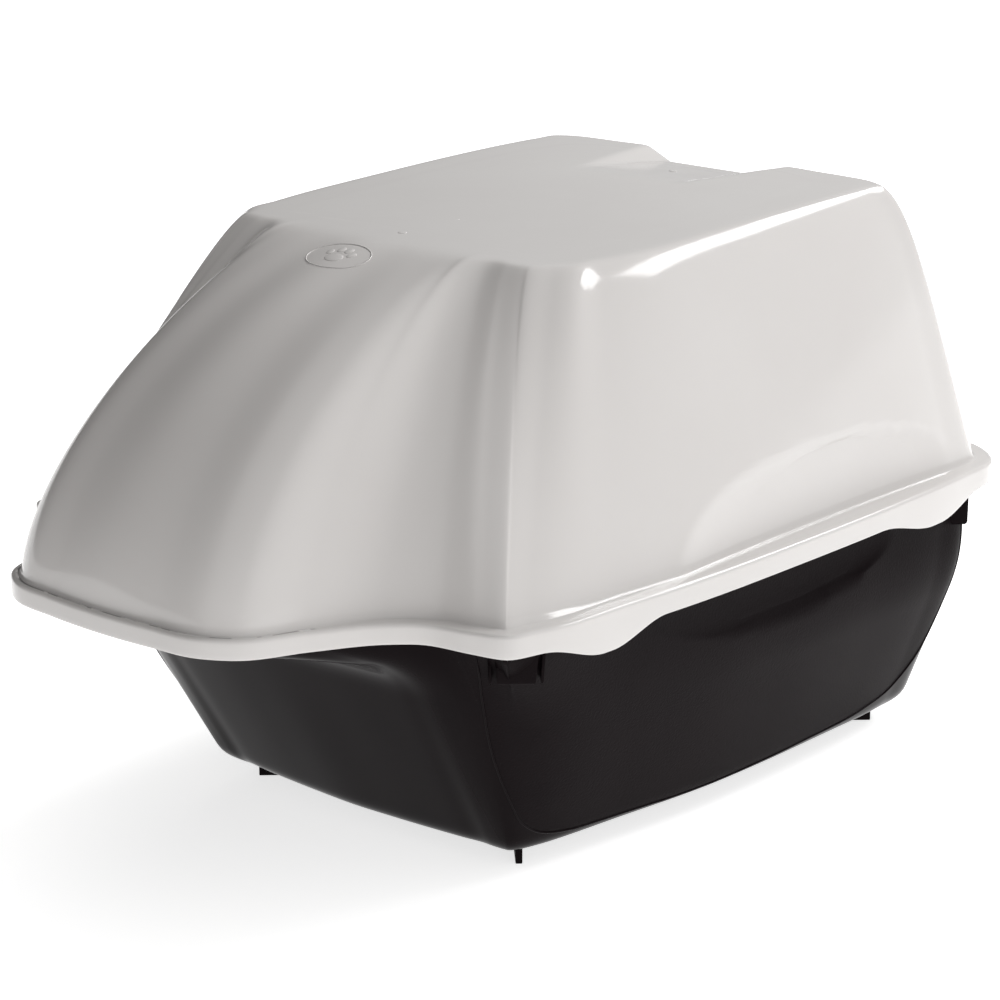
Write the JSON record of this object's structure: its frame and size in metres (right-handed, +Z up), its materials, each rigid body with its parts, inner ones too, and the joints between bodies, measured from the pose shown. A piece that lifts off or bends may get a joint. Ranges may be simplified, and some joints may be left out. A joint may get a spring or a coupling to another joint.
{
  "type": "cat litter box with hood",
  "caption": "Hooded cat litter box: a tapered dark tray with fin feet, a light lift-off hood with a rounded nose and a rear entrance with a swing flap.",
  "frame": {"origin": "middle of the footprint, on the floor under the feet", "axes": "+Z up; the closed nose points to -Y and the entrance faces +Y; X is across the box, and X = 0 is its plane of symmetry"},
  "size_m": [0.401, 0.6104, 0.3575],
  "materials": {
    "tray_plastic": "near-black moulded plastic, fine grain on the sides and smooth on the front panel",
    "hood_plastic": "light warm grey polished plastic",
    "flap_plastic": "smoked see-through plastic"
  },
  "bodies": {
    "tray": {"tray": "tray_plastic"},
    "hood": {"hood": "hood_plastic"},
    "flap": {"flap": "flap_plastic"}
  },
  "joints": [
    {"name": "hood_lift", "type": "slide", "parent": "tray", "child": "hood", "axis": [0, 0, 1], "range_m": [0, 0.25]},
    {"name": "flap_swing", "type": "hinge", "parent": "hood", "child": "flap", "pos_m": [0, 0.234, 0.322], "axis": [1, 0, 0], "range_deg": [-75, 75]}
  ]
}
